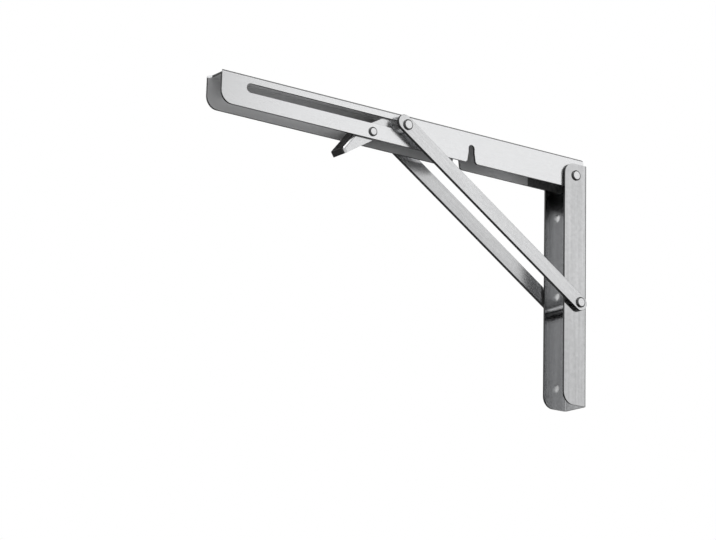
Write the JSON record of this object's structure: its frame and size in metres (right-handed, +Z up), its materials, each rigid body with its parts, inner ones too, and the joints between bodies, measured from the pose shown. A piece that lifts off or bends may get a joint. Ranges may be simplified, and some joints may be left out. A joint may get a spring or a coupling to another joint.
{
  "type": "folding shelf bracket",
  "caption": "Folding shelf bracket: a shelf arm hinged to a wall channel, held open by side braces whose studs slide in the arm and lock behind a sprung latch lever.",
  "frame": {"origin": "On the wall plane, midway between the top and the bottom wall screw, in the bracket's mirror plane.", "axes": "+X away from the wall along the open arm, +Z up to the shelf, +Y to the side; Y = 0 is the mirror plane."},
  "size_m": [0.3, 0.0304, 0.174],
  "materials": {
    "channel_steel": "polished stainless sheet",
    "arm_steel": "polished stainless sheet",
    "brace_steel": "brushed stainless bar",
    "lever_steel": "polished stainless pressing",
    "rivet_steel": "pressed stainless heads",
    "turned_steel": "turned stainless steel",
    "washer_steel": "plain stainless washer",
    "spring_steel": "drawn spring wire"
  },
  "bodies": {
    "leg": {"wall_channel": "channel_steel", "arm_pivot_rivet": "rivet_steel", "pivot_washer_near": "washer_steel", "pivot_washer_far": "washer_steel", "brace_foot_rivet": "rivet_steel", "foot_sleeve": "turned_steel", "foot_washer_near": "washer_steel", "foot_washer_far": "washer_steel"},
    "arm": {"shelf_arm": "arm_steel", "arm_pivot_sleeve": "turned_steel", "latch_rivet": "rivet_steel", "latch_bush": "turned_steel", "latch_spring": "spring_steel"},
    "brace": {"brace_strip_near": "brace_steel", "brace_strip_far": "brace_steel", "tip_rivet_near": "rivet_steel", "tip_rivet_far": "rivet_steel"},
    "slider": {"slide_stud_near": "turned_steel", "slide_stud_far": "turned_steel"},
    "latch": {"latch_lever": "lever_steel"}
  },
  "joints": [
    {"name": "arm_fold", "type": "hinge", "parent": "leg", "child": "arm", "pos_m": [0.0103, 0, 0.0832], "axis": [0, 1, 0], "range_deg": [0, 90]},
    {"name": "brace_swing", "type": "hinge", "parent": "leg", "child": "brace", "pos_m": [0.0084, 0, -0.0068], "axis": [0, 1, 0], "range_deg": [0, 120.26]},
    {"name": "stud_slide", "type": "slide", "parent": "arm", "child": "slider", "axis": [1, 0, 0], "range_m": [0, 0.11935]},
    {"name": "latch_release", "type": "hinge", "parent": "arm", "child": "latch", "pos_m": [0.18229, 0, 0.0793], "axis": [0, -1, 0], "range_deg": [0, 28], "stiffness_Nm_per_rad": 0.03, "springref_deg": -20.05, "deforming": ["latch_spring"]}
  ],
  "couplings": [
    {"joint": "brace_swing", "follows": "arm_fold", "ratio": 1.3362},
    {"joint": "stud_slide", "follows": "arm_fold", "m_per_rad": 0.075976}
  ]
}
